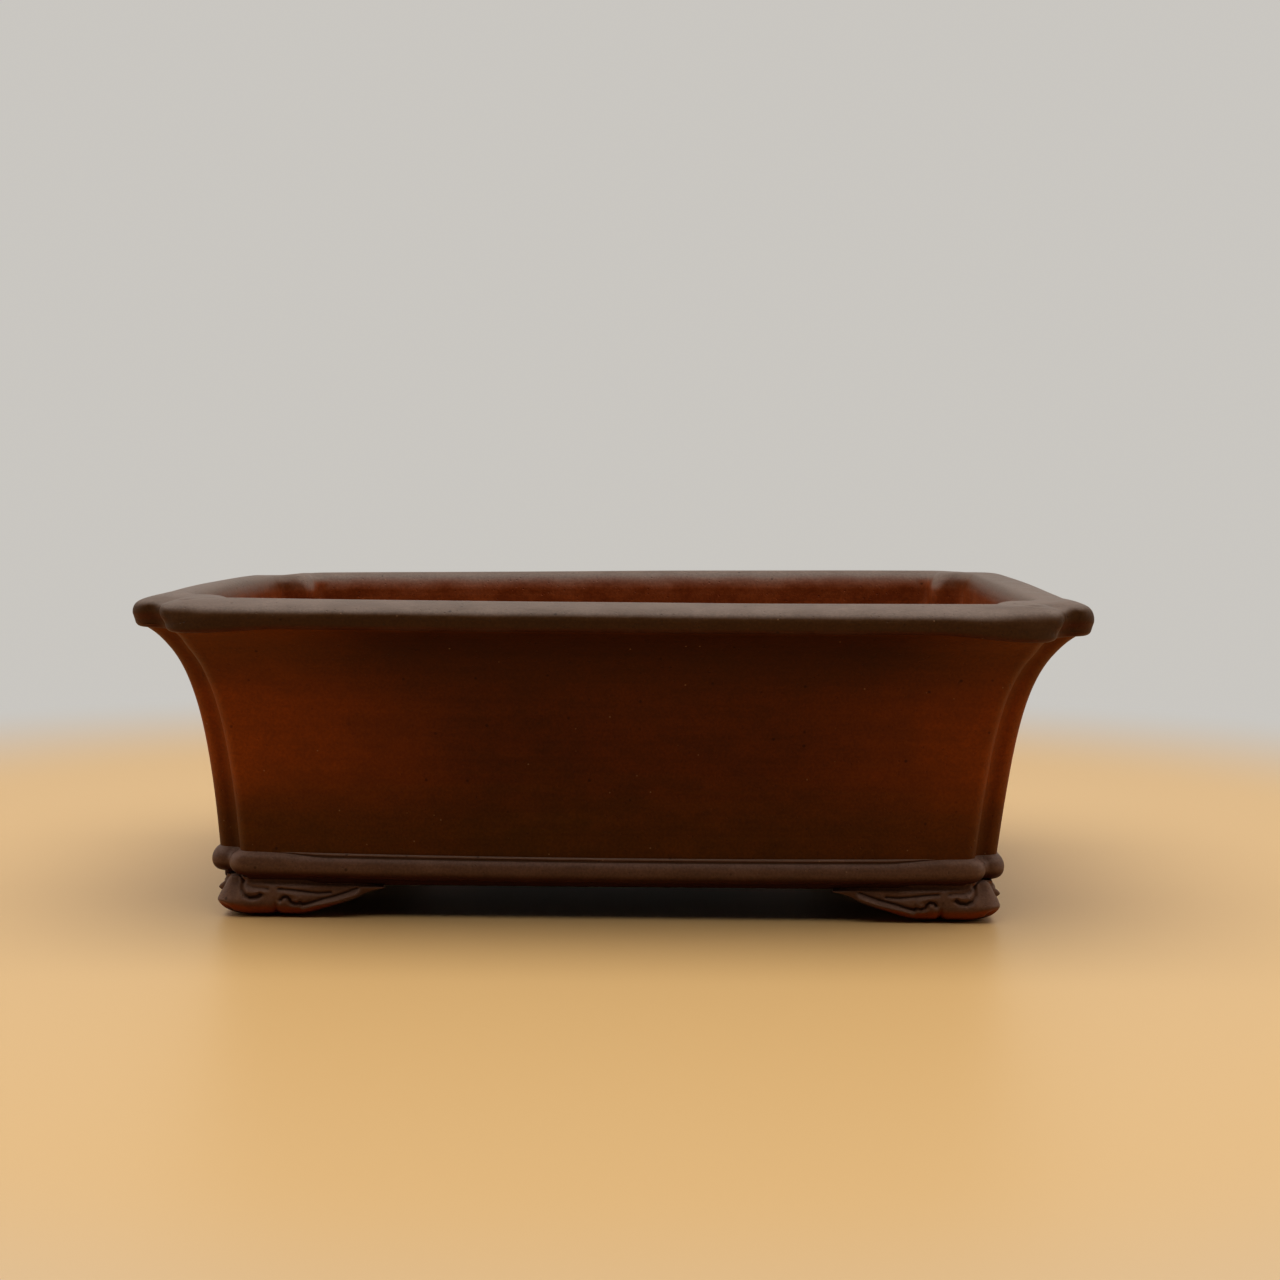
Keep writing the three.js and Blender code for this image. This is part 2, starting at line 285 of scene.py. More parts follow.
def bent(points):
    """Clay out of true: a lean, a rim that isn't level, and slow bows in walls and lip."""
    x, y, z = points[..., 0], points[..., 1], points[..., 2]
    along, over = x / HALF_LENGTH, y / HALF_DEPTH
    rise = z / LIP_CREST
    free = smooth(FOOT_HEIGHT, 60, z)
    out = 0.3 * free * (ripple(points, 150, 3) - 1)
    moved = points.copy()
    moved[..., 0] += out * np.sign(x) * smooth(0, 60, np.abs(x)) - 1.7 * (1 - rise)
    tip = smooth(0.5, 0.9, -over) * smooth(-0.7, -1, along) * smooth(90, WALL_TOP, z)
    moved[..., 0] += 1.6 * tip
    moved[..., 1] += out * np.sign(y) * smooth(0, 60, np.abs(y))
    tilt = 0.95 * along - 0.4 * over + 1.45 * along * over
    bow_front = -0.55 * np.clip(-over, 0, 1) * (1 - along ** 2)
    bow_back = 0.85 * np.clip(over, 0, 1) * (1 - along ** 2)
    bow_side = (1.6 - 0.3 * along) * smooth(0.4, 1, np.abs(along)) * (1 - over ** 2)
    raised = z + (tilt + bow_front + bow_back + bow_side) * rise ** 2
    raised += 0.12 * ripple(points, 90, 5) * smooth(70, 125, z)
    above = np.maximum(raised - (HEIGHT - CEILING), 0)
    moved[..., 2] = raised - above + CEILING * 0.95 * np.tanh(above / CEILING)
    return moved


# ---------------------------------------------------------------- walls and corner posts

FLARE = bezier((WALL_FOOT_INSET, FLOOR_TOP + 5), (27, 86), (23.4, 110), (3.6, WALL_TOP), steps=64)
FLOOR_FILLET = 7.0

# Radii of the wall's inner edge at the top, which the lip's inner edge repeats where it sits on it.
SEAT_LOBE = 4.0
SEAT_NOOK = 4.56


def wall_section():
    """Outer face up, top, inner face down to a fillet on the floor, and the foot of the wall."""
    inner_z = np.linspace(WALL_TOP, FLOOR_TOP + FLOOR_FILLET, 50)
    outer_at = np.interp(inner_z, FLARE[:, 1], FLARE[:, 0])
    inner = np.stack([np.maximum(outer_at + WALL_THICKNESS, LIP_WIDTH + 0.1), inner_z], -1)
    toe = (inner[-1][0] + FLOOR_FILLET, FLOOR_TOP)
    return outline(
        bezier((WALL_FOOT_INSET, FLOOR_TOP), FLARE[0], steps=3),
        FLARE,
        bezier(FLARE[-1], inner[0], steps=4),
        inner,
        bezier(inner[-1], (inner[-1][0] + 0.4, FLOOR_TOP + 0.4), toe, steps=9),
        bezier(toe, (WALL_FOOT_INSET, FLOOR_TOP), steps=4),
    )


def wall_rings():
    """The ring of all walls and posts, and 1 for the section points on its inner face."""
    section = wall_section()
    inset, z = section[:, 0], section[:, 1]
    outer_at = np.interp(z, FLARE[:, 1], FLARE[:, 0])
    inside = smooth(2, 6, inset - outer_at)
    rise = np.clip((z - FLOOR_TOP) / (WALL_TOP - FLOOR_TOP), 0, 1)
    outer_notch = BASE_NOTCH + 3.0 * smooth(112, WALL_TOP, z)
    inner_notch = BASE_NOTCH + (LIP_NOTCH - BASE_NOTCH) * rise
    room = POST_INSET - 1 - inset - inner_notch
    inner_lobe = np.clip(np.minimum(SEAT_LOBE + 5 * smooth(0, 14, WALL_TOP - z), room), 0.6, None)
    inner_nook = SEAT_NOOK + 1.5 * (1 - rise)
    notch = outer_notch + (inner_notch - outer_notch) * inside
    lobe = LOBE + (inner_lobe - LOBE) * inside
    nook = NOOK + (inner_nook - NOOK) * inside
    return bent(ring(section, notch, lobe, nook)), inside


def make_walls():
    rows, inside = wall_rings()
    pieces = []
    for k, side in enumerate(SIDES):
        loops = part_of(rows, k * QUARTER - SIDE_STEPS, k * QUARTER + SIDE_STEPS)
        pieces.append((clay_mesh(f"clay_{side}_wall", loops, inside), f"{side}_wall", "wall_clay"))
    for k, corner in enumerate(CORNERS):
        loops = part_of(rows, k * QUARTER + SIDE_STEPS, (k + 1) * QUARTER - SIDE_STEPS)
        post = clay_mesh(f"clay_post_{corner}", loops, inside)
        pieces.append((post, f"corner_post_{corner}", "wall_clay"))
    return pieces


# ---------------------------------------------------------------- lip

LIP_LOBE = 8.0
LIP_NOOK = 7.0
LOBE_RISE = 0.5
LOBE_ROUND = 2.6  # how far the front and back strips draw in beside a notch


def lip_section():
    """Seat, undercut outer edge, broad roll up to the crest, and the drop to the inner edge."""
    return outline(
        bezier((LIP_WIDTH, WALL_TOP), (3.6, WALL_TOP), steps=8),
        bezier((3.6, WALL_TOP), (1.3, WALL_TOP), (0.8, WALL_TOP + 2.4), steps=8),
        bezier((0.8, WALL_TOP + 2.4), (0.3, LIP_CREST - 6.4), steps=5),
        bezier((0.3, LIP_CREST - 6.4), (0.3, LIP_CREST - 2.8), (4.0, LIP_CREST - 1.6),
               (16.5, LIP_CREST), steps=34),
        bezier((16.5, LIP_CREST), (21.5, LIP_CREST + 0.3), (24.9, LIP_CREST - 2.2),
               (LIP_WIDTH, LIP_CREST - 8.2), steps=18),
        bezier((LIP_WIDTH, LIP_CREST - 8.2), (LIP_WIDTH, WALL_TOP), steps=4),
    )


def lip_rings():
    """The ring of the lip, and how far each of its points shows the clay of the inside."""
    section = lip_section()
    inset, z = section[:, 0], section[:, 1]
    filled = 3.4 * smooth(LIP_CREST - 9, LIP_CREST - 2, z) * (1 - smooth(7, 20, inset))
    seat = smooth(18, LIP_WIDTH, inset) * smooth(LIP_CREST - 2, WALL_TOP + 2, z)
    lobe = (LIP_LOBE - 0.45 * filled) * (1 - seat) + SEAT_LOBE * seat
    nook = (LIP_NOOK + 0.02 * inset - 0.45 * filled) * (1 - seat) + SEAT_NOOK * seat
    points = ring(section, LIP_NOTCH - filled, lobe, nook)
    share = smooth(WALL_TOP, LIP_CREST, z)[None, :]
    x, y = np.abs(points[..., 0]), np.abs(points[..., 1])
    from_nook = np.hypot(HALF_LENGTH - LIP_NOTCH - x, HALF_DEPTH - LIP_NOTCH - y)
    front = smooth(0, 60, -points[..., 1])
    right = smooth(0, 60, points[..., 0])
    pad = 1 - smooth(12, 36, from_nook)
    ends = 1 - smooth(14, 52, from_nook)
    outer = 1 - smooth(8, 18, inset)[None, :]
    upper = smooth(LIP_CREST - 6, LIP_CREST - 2.5, z)[None, :]
    tip = smooth(HALF_LENGTH - 20, HALF_LENGTH - 9, x)
    lift = (LOBE_RISE + 0.4 * right) * pad * (1 - 0.75 * tip)
    lift += (0.9 + 0.8 * right) * tip * (1 - smooth(8, 62, from_nook))
    points[..., 2] += front * outer * upper * lift
    droop = 0.4 + (1.7 + 0.9 * right) * front * (1 - 0.4 * tip)
    points[..., 2] -= droop * ends * (1 - share)
    near = 1 - smooth(2, 20, HALF_LENGTH - LIP_NOTCH - x)
    proud = np.clip((y - (HALF_DEPTH - inset - LIP_NOTCH)) / LIP_NOTCH, 0, 1)
    rounding = LOBE_ROUND * (0.3 + 0.7 * smooth(WALL_TOP + 1, WALL_TOP + 6, z))
    points[..., 1] -= np.sign(points[..., 1]) * rounding * near * proud * (1 - tip) * outer
    sunk = smooth(-160, -172, points[..., 0]) * smooth(60, 110, points[..., 1])
    points[..., 2] -= 0.9 * sunk
    points[..., 2] += pressed_marks(points) * smooth(0.6, 1, share)
    side = smooth(-6, 6, (HALF_DEPTH - y) - (HALF_LENGTH - x))
    early = smooth(LIP_CREST - 0.1, LIP_CREST - 1.3, z)
    late = 0.4 * smooth(LIP_CREST - 1, LIP_CREST - 4, z)
    late = late + 0.6 * smooth(LIP_CREST - 4, LIP_CREST - 10, z)
    inside = (early + (late - early) * side) * smooth(16, 20, inset)
    return bent(points), inside


def pressed_marks(points):
    """Marks left on the lip where its strips were luted: a soft valley in on each mitre and
    tool dimples beside it."""
    x, y = HALF_LENGTH - np.abs(points[..., 0]), HALF_DEPTH - np.abs(points[..., 1])
    side = np.sign(points[..., 0]) + 0.5 * np.sign(points[..., 1])
    mitre = hump(x - y, 0, 2.2) * (1 - smooth(14, 26, x)) * smooth(8, 14, x)
    dimple = hump(x, 25.5 + 0.8 * side, 3.4) * hump(y, 13.2, 1.5)
    press = hump(x, 33 - side, 5.0) * hump(y, 17.5, 3.0)
    return -0.5 * mitre - 0.75 * dimple - 0.3 * press


def make_lip():
    rows, inside = lip_rings()
    pieces = []
    for k, side in enumerate(SIDES):
        span = (k * QUARTER - QUARTER // 2, k * QUARTER + QUARTER // 2)
        strip = clay_mesh(f"clay_lip_{side}", part_of(rows, *span), part_of(inside, *span))
        pieces.append((strip, f"rim_{side}", "lip_clay"))
    return pieces


# ---------------------------------------------------------------- belt

BELT_SWELL = 3.8
LEDGE = 1.3
BELT_SAG = {"front": 1.5, "back": 0.9, "left": 0.5, "right": 0.6}


def belt_section(full):
    """Half-round bead under a thin ledge, with a hairline groove between, and a flat back. Where
    full is 1 the bead takes in the ledge."""
    bead_top = BELT_TOP - LEDGE * (1 - full)
    centre = (bead_top + BELT_BOTTOM) / 2
    half = (bead_top - BELT_BOTTOM) / 2
    back = FLOOR_INSET + 0.2
    wall = WALL_FOOT_INSET + 0.2
    angle = np.linspace((0.66 - 0.1 * full) * PI, 1.5 * PI, 30)
    swell = BELT_INSET + BELT_SWELL * (1 + np.cos(angle))
    bead = np.stack([swell, centre + half * np.sin(angle)], -1)
    ledge = wall - 1.3 * (1 - full)
    drop = 1 - 0.9 * full
    edge = (ledge, BELT_TOP - 0.8 * drop)
    return outline(
        bezier((wall, FLOOR_TOP), (wall, BELT_TOP - 0.1), steps=4),
        bezier((wall, BELT_TOP - 0.1), (ledge, BELT_TOP), edge, steps=6),
        bezier(edge, (ledge + 0.4 * drop, BELT_TOP - 1.25 * drop), bead[0], steps=5),
        bead,
        bezier(bead[-1], (back, BELT_BOTTOM), steps=2),
        bezier((back, BELT_BOTTOM), (back, FLOOR_TOP), steps=3),
        bezier((back, FLOOR_TOP), (wall, FLOOR_TOP), steps=2),
    )


def belt_ring(full):
    """The ring of the belt, whose rounds at the corners follow how far each point stands out."""
    section = belt_section(full)
    outward = WALL_FOOT_INSET - section[:, 0]
    proud = np.maximum(outward, 0)
    behind = np.minimum(outward, 0)
    notch = BASE_NOTCH - 0.5 * proud
    lobe = np.maximum(LOBE + 0.3 * proud + behind, 0.5)
    return ring(section, notch, lobe, NOOK - 0.65 * proud - behind)


def make_belt():
    """Four strips whose bead swells at the ends, and dips where two of them meet in the nook."""
    plain, full = belt_ring(0.0), belt_ring(1.0)
    nook_at = WALL_FOOT_INSET + BASE_NOTCH
    x, y = np.abs(plain[..., 0]), np.abs(plain[..., 1])
    from_nook = np.hypot(HALF_LENGTH - nook_at - x, HALF_DEPTH - nook_at - y)
    swell = (1 - smooth(14, 40, from_nook))[..., None]
    rows = plain + (full - plain) * swell
    upper = smooth(BELT_BOTTOM + 4, BELT_TOP - LEDGE, rows[..., 2])
    proud = smooth(0.2, 1.6, WALL_FOOT_INSET - belt_section(0.5)[:, 0])[None, :]
    rows[..., 2] -= 1.3 * hump(from_nook, 3, 4) * upper * proud
    pieces = []
    for k, side in enumerate(SIDES):
        loops = part_of(rows, k * QUARTER - QUARTER // 2, k * QUARTER + QUARTER // 2).copy()
        axis, half = (0, HALF_LENGTH) if side in ("front", "back") else (1, HALF_DEPTH)
        share = loops[..., axis] / (half - WALL_FOOT_INSET)
        loops[..., 2] += 0.9 - BELT_SAG[side] * np.clip(1 - share ** 2, 0, 1)
        loops[..., 2] -= 0.5 * loops[..., 0] / HALF_LENGTH
        pieces.append((clay_mesh(f"clay_belt_{side}", bent(loops)), f"belt_{side}", "belt_clay"))
    return pieces


# ---------------------------------------------------------------- floor slab

SLAB_EDGE = 2.6
HOLE_EDGE = 1.6


def slab_outline(grow):
    """Loop round the slab, set in by grow from its widest, anticlockwise."""
    inset = np.array([FLOOR_INSET + grow])
    section = np.stack([inset, 0 * inset], -1)
    outward = WALL_FOOT_INSET - inset
    rows = ring(section, BASE_NOTCH, np.maximum(LOBE + outward, 0.5), NOOK - outward)
    return rows[::2, 0, :2]


def softened(radius, bottom):
    """Levels (set-in, height) of a quarter round from the bottom face up to the full width."""
    turn = np.linspace(0, PI / 2, 6)
    return [(radius * (1 - math.sin(t)), bottom + radius * (1 - math.cos(t))) for t in turn]


def circle(centre, radius, steps):
    angle = np.arange(steps) * 2 * PI / steps
    return np.array(centre) + radius * np.stack([np.cos(angle), np.sin(angle)], -1)


def slab_face(edge, holes, spacing=9.0):
    """Points and triangles of a flat face inside the edge loop and outside the holes."""
    loops = [edge, *holes]
    points, edges = [], []
    for loop in loops:
        first = len(points)
        points += [Vector(p) for p in loop]
        edges += [(first + i, first + (i + 1) % len(loop)) for i in range(len(loop))]
    border = np.concatenate(loops)
    rng = np.random.default_rng(11)
    for px in np.arange(-HALF_LENGTH, HALF_LENGTH, spacing):
        for py in np.arange(-HALF_DEPTH, HALF_DEPTH, spacing):
            p = np.array([px, py]) + rng.uniform(-1.5, 1.5, 2)
            if np.hypot(*(border - p).T).min() > 0.5 * spacing and is_inside(p, edge):
                if not any(is_inside(p, hole) for hole in holes):
                    points.append(Vector(p))
    made, _, faces, *_ = geometry.delaunay_2d_cdt(points, edges, [], 0, 1e-5)
    flat = np.array([tuple(p) for p in made])
    kept = []
    for face in faces:
        middle = flat[list(face)].mean(0)
        if is_inside(middle, edge) and not any(is_inside(middle, hole) for hole in holes):
            kept.append(tuple(face))
    return flat, kept


def is_inside(p, loop):
    """Whether a point lies inside a closed loop."""
    a, b = loop, np.roll(loop, -1, 0)
    crosses = (a[:, 1] > p[1]) != (b[:, 1] > p[1])
    rise = np.where(crosses, b[:, 1] - a[:, 1], 1)
    at = a[:, 0] + (p[1] - a[:, 1]) * (b[:, 0] - a[:, 0]) / rise
    return bool((crosses & (p[0] < at)).sum() % 2)


def make_floor():
    """The slab: a flat face above and below, a softened edge, and holes with softened rims."""
    holes = [((x, 0), DRAIN_RADIUS, 48) for x in (-DRAIN_X, DRAIN_X)]
    holes += [((sx * WIRE_PLACE[0], sy * WIRE_PLACE[1]), WIRE_RADIUS, 20) for sx, sy in QUADRANTS]
    bottom, top = FOOT_HEIGHT, FLOOR_TOP
    edge_levels = softened(SLAB_EDGE, bottom) + [(0.0, top)]
    lower = softened(HOLE_EDGE, bottom)
    hole_levels = lower + [(grow, bottom + top - z) for grow, z in lower[::-1]]
    points, faces = [], []

    def add_levels(loops):
        first = len(points)
        count = len(loops[0])
        for loop in loops:
            points.extend(loop.tolist())
        for row in range(len(loops) - 1):
            for i in range(count):
                a = first + row * count + i
                b = first + row * count + (i + 1) % count
                faces.append((a, b, b + count, a + count))

    lift = lambda loop, z: np.concatenate([loop, np.full((len(loop), 1), z)], -1)
    add_levels([lift(slab_outline(grow), z) for grow, z in edge_levels])
    for centre, radius, steps in holes:
        rim = [circle(centre, radius + grow, steps)[::-1] for grow, _ in hole_levels]
        add_levels([lift(loop, z) for loop, (_, z) in zip(rim, hole_levels)])
    for z, level, turned in ((bottom, 0, True), (top, -1, False)):
        cut = [circle(c, r + hole_levels[level][0], n) for c, r, n in holes]
        flat, triangles = slab_face(slab_outline(edge_levels[level][0]), cut)
        first = len(points)
        points.extend(lift(flat, z).tolist())
        for a, b, c in triangles:
            area = np.cross(flat[b] - flat[a], flat[c] - flat[a])
            wound = (a, b, c) if (area > 0) != turned else (a, c, b)
            faces.append(tuple(first + i for i in wound))
    return welded("clay_floor_slab", bent(np.array(points)), faces)


def welded(name, points, faces):
    """A closed piece from points in millimetres and faces whose borders coincide."""
    mesh = bpy.data.meshes.new(name)
    mesh.from_pydata((points / MM).tolist(), [], faces)
    work = bmesh.new()
    work.from_mesh(mesh)
    bmesh.ops.remove_doubles(work, verts=work.verts, dist=1e-5)
    bmesh.ops.recalc_face_normals(work, faces=work.faces)
    work.to_mesh(mesh)
    work.free()
    add_field(mesh, "relief", np.zeros(len(mesh.vertices)))
    add_field(mesh, "inside", [float(v.co.z * MM > FLOOR_TOP - 1) for v in mesh.vertices])
    return finished(name, mesh)


# ---------------------------------------------------------------- feet

def stroke(s, z, path, width):
    """1 on a line through path, falling off over width, for points at (s, z)."""
    nearest = np.full(s.shape, 1e9)
    for (s0, z0), (s1, z1) in zip(path, path[1:]):
        ds, dz = s1 - s0, z1 - z0
        t = np.clip(((s - s0) * ds + (z - z0) * dz) / (ds * ds + dz * dz), 0, 1)
        nearest = np.minimum(nearest, np.hypot(s - s0 - t * ds, z - z0 - t * dz))
    return np.exp(-((nearest / width) ** 2))


# Carving on a long wing, as (distance from the corner, height) of each tool line.
LEAF_HOOK = ((11.8, 15.0), (11.7, 11.4), (12.8, 9.4), (14.9, 8.5), (17.6, 8.8), (19.2, 9.9))
LEAF_CURL = ((14.4, 11.0), (17.4, 10.9), (20.6, 11.2))
CREASE = ((25.0, 8.0), (25.2, 4.0), (25.2, 0.0))
LEAF_TOP = ((13.6, 13.6), (16.0, 12.8), (19.0, 12.6), (22.0, 12.3))
SECOND_HOOK = ((27.4, 7.6), (28.3, 8.7), (30.2, 9.1), (31.3, 7.9), (31.9, 6.7), (33.6, 6.2),
               (35.4, 6.8))
SECOND_CURL = ((30.5, 10.6), (33.4, 10.2), (35.0, 8.9), (34.4, 7.8))
TOP_LINE = ((26.6, 12.2), (30.0, 11.9), (35.5, 11.4), (43.0, 10.5), (48.0, 10.8))
RIM_LINE = ((37.0, 3.6), (41.2, 5.3), (46.0, 6.3), (50.5, 7.5), (54.5, 8.9), (58.6, 10.5))
RIM_GROOVE = ((36.5, 6.0), (41.5, 6.9), (46.6, 8.0), (51.0, 9.1), (55.4, 10.6), (59.0, 12.0))

# The sole, as (distance from the corner, height): flat, then arched up to the tip of the wing.
ARCH = ((0, 0), (34.5, 0), (38.0, 0.5), (42.2, 1.9), (47.7, 3.8), (53.0, 5.6), (57.0, 7.1),
        (60.0, 8.6), (63.0, 10.0), (66.0, 11.2), (70.0, 12.3))


def carving(s, z):
    """How far the foot's face stands out, in millimetres, at distance s and height z."""
    groove_line = np.interp(s, *zip(*RIM_GROOVE))
    rim_end = 1 - smooth(58.6, 61.0, s)
    cut = 1.9 * stroke(s, z, LEAF_HOOK, 1.05)
    cut += 1.5 * stroke(s, z, CREASE, 0.95) * (1 - 0.7 * smooth(3.5, 8, z))
    cut += 1.6 * stroke(s, z, SECOND_HOOK, 0.85)
    cut += 1.1 * stroke(s, z, TOP_LINE, 0.75)
    cut += 1.7 * stroke(s, z, RIM_GROOVE, 0.9) * rim_end
    cut += 0.9 * stroke(s, z, LEAF_TOP, 0.9)
    raised = (0.8 + 0.5 * smooth(44, 56, s)) * stroke(s, z, RIM_LINE, 1.2) * rim_end
    raised += 0.7 * stroke(s, z, LEAF_CURL, 1.1) + 0.8 * stroke(s, z, SECOND_CURL, 1.1)
    back = 1.5 * smooth(37, 46, s) * smooth(-0.3, 0.9, z - groove_line)
    back += 2.1 * smooth(59, 61.4, s) * (1 - smooth(-0.3, 0.9, z - groove_line))
    return raised - cut - back


def foot_section():
    """Closed section as (depth in from the outer face, height), densest on the carved face."""
    return outline(
        bezier((FOOT_DEPTH, 0), (12.5, 0), steps=4),
        bezier((12.5, 0), (4.2, 0.3), (0.5, 3.0), (0.25, 7.4), steps=36),
        bezier((0.25, 7.4), (0.25, 10.5), (0.8, 12.6), steps=22),
        bezier((0.8, 12.6), (1.2, 14.0), (2.4, 13.9), (3.4, FOOT_COVE), steps=14),
        bezier((3.4, FOOT_COVE), (FOOT_DEPTH, FOOT_COVE), steps=10),
        bezier((FOOT_DEPTH, FOOT_COVE), (FOOT_DEPTH, 0), steps=6),
    )


def sculpted(s, depth, z):
    """Depth and height of each section point at distance s along a long wing."""
    arch = np.interp(s, *zip(*ARCH))
    leaf = 1 - smooth(9.0, 12.6, s)
    face = smooth(6.0, FOOT_HEIGHT, z)
    outer = 1 - smooth(5, 10, depth)
    height = arch + z * (1 - arch / FOOT_HEIGHT)
    height = height + leaf * outer * (3.0 * face - 2.2 * smooth(FOOT_HEIGHT, FOOT_COVE, z))
    corner_lift = 2.8 * (1 - smooth(0, 14, s)) * (1 - smooth(2, 9, z))
    height = height + corner_lift * (1 - smooth(8, 12.5, depth))
    crease_lift = 0.9 * hump(s, 25.2, 1.6) * (1 - smooth(1, 5, z))
    height = height + crease_lift * (1 - smooth(9, 12.4, depth))
    lean = 4.4 * leaf * face * (1 - smooth(5, 14, depth))
    taper = 1 - 0.35 * smooth(36, 70, s)
    skin = (1 - smooth(4.0, 8.5, depth)) * smooth(-0.2, 1.4, z)
    return depth * taper + lean - skin * carving(s, height), height


def foot_rows():
    """Stations of one foot from the tip of its -Y wing round the corner to the tip of its -X
    wing. The outer corner is at the origin. Each section point starts its wing beyond its own
    depth at the corner, so that the inner faces of the two wings don't cross."""
    section = foot_section()
    depth, z = section[:, 0], section[:, 1]
    wings = []
    start = np.maximum(sculpted(FOOT_CORNER + 0 * z, depth, z)[0] + 0.4, FOOT_CORNER)
    for length in (WING_SHORT, WING_LONG):
        along = start + np.linspace(1, 0, 165)[:, None] * (length - start)
        d, height = sculpted(along * WING_LONG / length, depth, z)
        wings.append((along, d, height))
    angle = np.linspace(0, PI / 2, 25)[1:-1, None]
    s = FOOT_CORNER * np.abs(angle / (PI / 4) - 1) + 0 * z
    d, height = sculpted(s, depth, z)
    radius = np.maximum(FOOT_CORNER - d, 0.4)
    centre = -d - radius
    corner = np.stack([centre + radius * np.cos(angle), centre + radius * np.sin(angle), height], -1)
    along_y, d_y, z_y = wings[0]
    along_x, d_x, z_x = wings[1]
    first = np.stack([-d_y, -along_y, z_y], -1)
    last = np.stack([-along_x, -d_x, z_x], -1)[::-1]
    return np.concatenate([first, corner, last])


def make_feet():
    pieces = []
    base = foot_rows() + np.array([HALF_LENGTH - FOOT_INSET, HALF_DEPTH - FOOT_INSET, 0])
    for name, (sx, sy) in zip(CORNERS, QUADRANTS):
        loops = bent(base * np.array([sx, sy, 1]) + np.array([FOOT_SHIFT.get(name, 0), 0, 0]))
        pieces.append((clay_mesh(f"clay_foot_{name}", loops), f"foot_{name}", "foot_clay"))
    return pieces


# ---------------------------------------------------------------- clay material

class Tree:
    """A material's node tree, built by expressions. A number, colour or socket can go in."""

    def __init__(self, material):
        material.use_nodes = True
        self.nodes = material.node_tree.nodes
        self.links = material.node_tree.links
        self.place = self.make("ShaderNodeTexCoord").outputs["Object"]

    def make(self, kind, inputs=(), **settings):
        node = self.nodes.new(kind)
        for key, value in settings.items():
            setattr(node, key, value)
        for key, value in dict(inputs).items():
            self.feed(node.inputs[key], value)
        return node

    def feed(self, socket, value):
        if isinstance(value, bpy.types.NodeSocket):
            self.links.new(value, socket)
        elif isinstance(value, tuple) and len(value) == 3 and socket.type == "RGBA":
            socket.default_value = (*value, 1)
        else:
            socket.default_value = value

    def math(self, operation, *values):
        node = self.make("ShaderNodeMath", operation=operation)
        for socket, value in zip(node.inputs, values):
            self.feed(socket, value)
        return node.outputs[0]

    def ramp(self, value, low, high, to_low=0.0, to_high=1.0):
        """to_low at low, to_high at high and a smooth change between. low may be the larger."""
        inputs = {"Value": value, "From Min": low, "From Max": high}
        inputs.update({"To Min": to_low, "To Max": to_high})
        return self.make("ShaderNodeMapRange", inputs, interpolation_type="SMOOTHSTEP").outputs[0]

    def mix(self, share, a, b, blend="MIX"):
        node = self.make("ShaderNodeMix", data_type="RGBA", blend_type=blend)
        for key, value in ((0, share), (6, a), (7, b)):
            self.feed(node.inputs[key], value)
        return node.outputs[2]

    def stretched(self, scale, offset=0.0):
        inputs = {"Vector": self.place, "Scale": scale, "Location": (offset, offset, offset)}
        return self.make("ShaderNodeMapping", inputs).outputs[0]

    def noise(self, scale, detail=3.0, rough=0.5, at=None, distortion=0.0):
        inputs = {"Vector": at or self.place, "Scale": scale, "Detail": detail, "Roughness": rough}
        inputs["Distortion"] = distortion
        return self.make("ShaderNodeTexNoise", inputs).outputs[0]

    def cells(self, scale, at=None):
        """Distance to the nearest of scattered points, and that point's random number."""
        node = self.make("ShaderNodeTexVoronoi", {"Vector": at or self.place, "Scale": scale})
        parts = self.make("ShaderNodeSeparateColor", {"Color": node.outputs["Color"]})
        return node.outputs["Distance"], parts.outputs[0]


INNER_CLAY = ((0.185, 0.041, 0.0070), (0.240, 0.060, 0.0125))
FLECK = (0.36, 0.20, 0.11)
IRON = (0.006, 0.002, 0.001)


